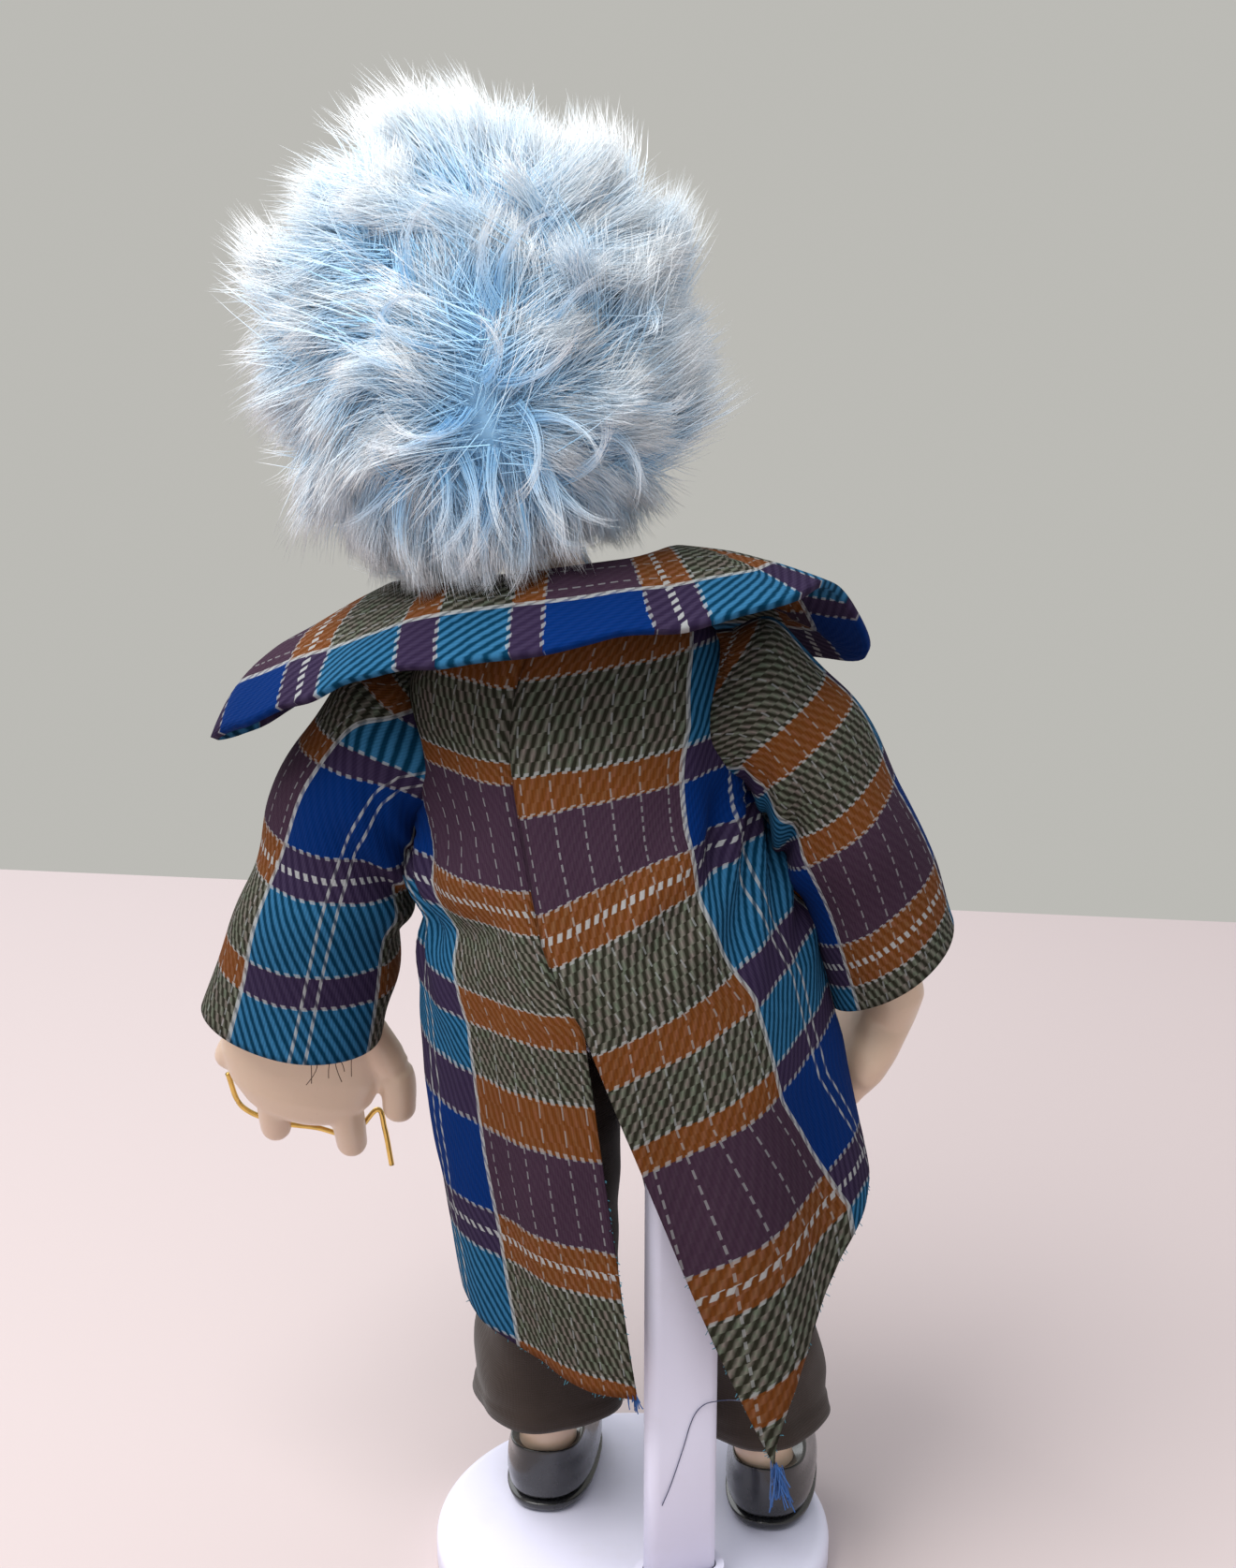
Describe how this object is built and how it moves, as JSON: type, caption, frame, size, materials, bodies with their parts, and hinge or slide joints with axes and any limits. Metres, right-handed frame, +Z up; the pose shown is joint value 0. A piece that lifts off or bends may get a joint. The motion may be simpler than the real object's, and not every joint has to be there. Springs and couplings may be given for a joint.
{
  "type": "porcelain clown doll",
  "caption": "Porcelain clown doll with a pale blue fur wig and a plaid swallow-tail coat, on a white stand with a sliding hip clip; jointed neck, arms and legs.",
  "frame": {"origin": "centre of the stand's underside, on the surface it stands on", "axes": "+Z up, the doll faces -Y, its left hand is on +X"},
  "size_m": [0.2117, 0.1158, 0.4039],
  "materials": {
    "white_plastic": "moulded white plastic",
    "body_cloth": "plain cotton body cloth, stuffed",
    "porcelain": "satin painted bisque porcelain",
    "red_glaze": "glossy painted porcelain",
    "black_glaze": "glossy black painted porcelain",
    "trouser_cloth": "dark brown twill",
    "shirt_cloth": "white cotton",
    "bow_satin": "blue satin",
    "plaid_twill": "blue, olive, plum and rust plaid twill",
    "button_plastic": "brown plastic",
    "cork": "pressed cork or card pate",
    "fur": "long pale blue fur pile on a cloth cap",
    "gold_wire": "bright gold wire"
  },
  "bodies": {
    "stand": {"stand_base": "white_plastic", "stand_socket": "white_plastic", "stand_post": "white_plastic"},
    "torso": {"stand_slider": "white_plastic", "stand_clip": "white_plastic", "torso": "body_cloth", "shoulder_plate": "porcelain", "trousers_seat": "trouser_cloth", "waistband": "trouser_cloth", "shirt": "shirt_cloth", "bow_tie_band": "bow_satin", "bow_tie_knot": "bow_satin", "bow_tie_left": "bow_satin", "bow_tie_right": "bow_satin", "coat_back_left": "plaid_twill", "coat_back_right": "plaid_twill", "coat_front_left": "plaid_twill", "coat_front_right": "plaid_twill", "coat_collar": "plaid_twill", "coat_lapel_left": "plaid_twill", "coat_lapel_right": "plaid_twill", "coat_button": "button_plastic"},
    "head": {"head": "porcelain", "head_pate": "cork", "nose": "red_glaze", "wig": "fur"},
    "left_arm": {"left_upper_arm": "body_cloth", "left_arm_binding": "body_cloth", "left_sleeve": "plaid_twill"},
    "left_forearm": {"left_hand": "porcelain", "hand_wire": "gold_wire"},
    "right_arm": {"right_upper_arm": "body_cloth", "right_arm_binding": "body_cloth", "right_sleeve": "plaid_twill"},
    "right_forearm": {"right_hand": "porcelain"},
    "left_leg": {"left_trouser_leg": "trouser_cloth", "left_upper_leg": "body_cloth", "left_leg_binding": "body_cloth", "left_lower_leg": "porcelain", "left_shoe": "black_glaze", "left_shoe_sole": "black_glaze"},
    "right_leg": {"right_trouser_leg": "trouser_cloth", "right_upper_leg": "body_cloth", "right_leg_binding": "body_cloth", "right_lower_leg": "porcelain", "right_shoe": "black_glaze", "right_shoe_sole": "black_glaze"}
  },
  "joints": [
    {"name": "stand_height", "type": "slide", "parent": "stand", "child": "torso", "axis": [0, 0, 1], "range_m": [0, 0.018]},
    {"name": "neck_turn", "type": "hinge", "parent": "torso", "child": "head", "pos_m": [0.02121, 0, 0.28666], "axis": [0.2756, 0, 0.9613], "range_deg": [-60, 60]},
    {"name": "left_shoulder", "type": "hinge", "parent": "torso", "child": "left_arm", "pos_m": [0.06048, 0, 0.24276], "axis": [-0.9903, 0, 0.1392], "range_deg": [-30, 50]},
    {"name": "left_elbow", "type": "hinge", "parent": "left_arm", "child": "left_forearm", "pos_m": [0.08175, -0.003, 0.20948], "axis": [-0.9903, 0, 0.1392], "range_deg": [-6, 4]},
    {"name": "right_shoulder", "type": "hinge", "parent": "torso", "child": "right_arm", "pos_m": [-0.02865, 0, 0.25529], "axis": [-0.9903, 0, 0.1392], "range_deg": [0, 50]},
    {"name": "right_elbow", "type": "hinge", "parent": "right_arm", "child": "right_forearm", "pos_m": [-0.0522, -0.00511, 0.22831], "axis": [-0.9903, 0, 0.1392], "range_deg": [0, 6]},
    {"name": "left_hip", "type": "hinge", "parent": "torso", "child": "left_leg", "pos_m": [0.023, 0, 0.1392], "axis": [-1, 0, 0], "range_deg": [0, 60]},
    {"name": "right_hip", "type": "hinge", "parent": "torso", "child": "right_leg", "pos_m": [-0.019, 0, 0.1392], "axis": [-1, 0, 0], "range_deg": [0, 60]}
  ]
}
